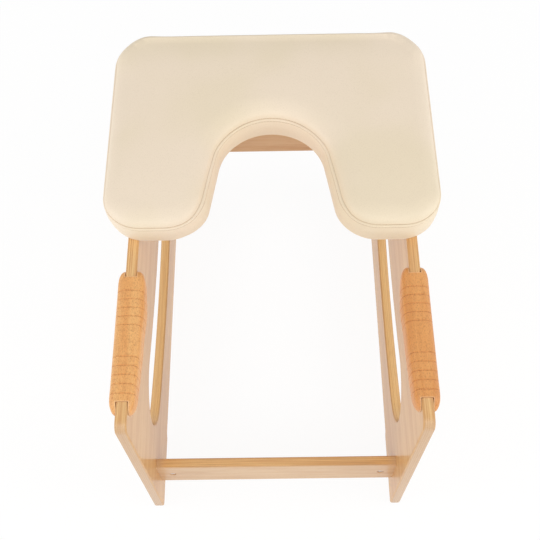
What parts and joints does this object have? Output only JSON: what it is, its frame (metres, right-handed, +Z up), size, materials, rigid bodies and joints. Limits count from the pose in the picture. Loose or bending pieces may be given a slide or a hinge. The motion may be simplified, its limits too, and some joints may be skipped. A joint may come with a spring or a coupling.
{
  "type": "headstand bench",
  "caption": "Yoga headstand bench: slotted plywood side panels joined by rails, ribbed hardwood grips and a U-shaped padded cushion.",
  "frame": {"origin": "middle of the bench's foot, on the floor", "axes": "+X to the right seen from the grips, +Y from the grips to the cushion, +Z up"},
  "size_m": [0.44, 0.576, 0.43],
  "materials": {
    "birch_plywood": "clear satin varnish over birch veneer, with darker cross-band edges",
    "beech": "oiled steamed beech with fine turned grooves",
    "dowel_wood": "raw fluted beech",
    "cream_leather": "soft satin cream imitation leather",
    "zinc_steel": "bright zinc plated"
  },
  "bodies": {
    "root": {"side_panel_left": "birch_plywood", "grip_left": "beech", "grip_screw_front_left": "zinc_steel", "grip_screw_rear_left": "zinc_steel", "side_panel_right": "birch_plywood", "grip_right": "beech", "grip_screw_front_right": "zinc_steel", "grip_screw_rear_right": "zinc_steel", "lower_rail": "birch_plywood", "barrel_nut_lower_rail_left": "zinc_steel", "bolt_lower_rail_left": "zinc_steel", "dowel_lower_rail_left": "dowel_wood", "barrel_nut_lower_rail_right": "zinc_steel", "bolt_lower_rail_right": "zinc_steel", "dowel_lower_rail_right": "dowel_wood", "seat_rail_front": "birch_plywood", "barrel_nut_seat_rail_front_left": "zinc_steel", "bolt_seat_rail_front_left": "zinc_steel", "dowel_seat_rail_front_left": "dowel_wood", "barrel_nut_seat_rail_front_right": "zinc_steel", "bolt_seat_rail_front_right": "zinc_steel", "dowel_seat_rail_front_right": "dowel_wood", "seat_rail_rear": "birch_plywood", "barrel_nut_seat_rail_rear_left": "zinc_steel", "bolt_seat_rail_rear_left": "zinc_steel", "dowel_seat_rail_rear_left": "dowel_wood", "barrel_nut_seat_rail_rear_right": "zinc_steel", "bolt_seat_rail_rear_right": "zinc_steel", "dowel_seat_rail_rear_right": "dowel_wood", "base_board": "birch_plywood", "cushion": "cream_leather", "bracket_front_left": "zinc_steel", "bracket_side_screw_front_left": "zinc_steel", "bracket_top_screw_front_left": "zinc_steel", "bracket_front_right": "zinc_steel", "bracket_side_screw_front_right": "zinc_steel", "bracket_top_screw_front_right": "zinc_steel", "bracket_rear_left": "zinc_steel", "bracket_side_screw_rear_left": "zinc_steel", "bracket_top_screw_rear_left": "zinc_steel", "bracket_rear_right": "zinc_steel", "bracket_side_screw_rear_right": "zinc_steel", "bracket_top_screw_rear_right": "zinc_steel"}
  },
  "joints": []
}
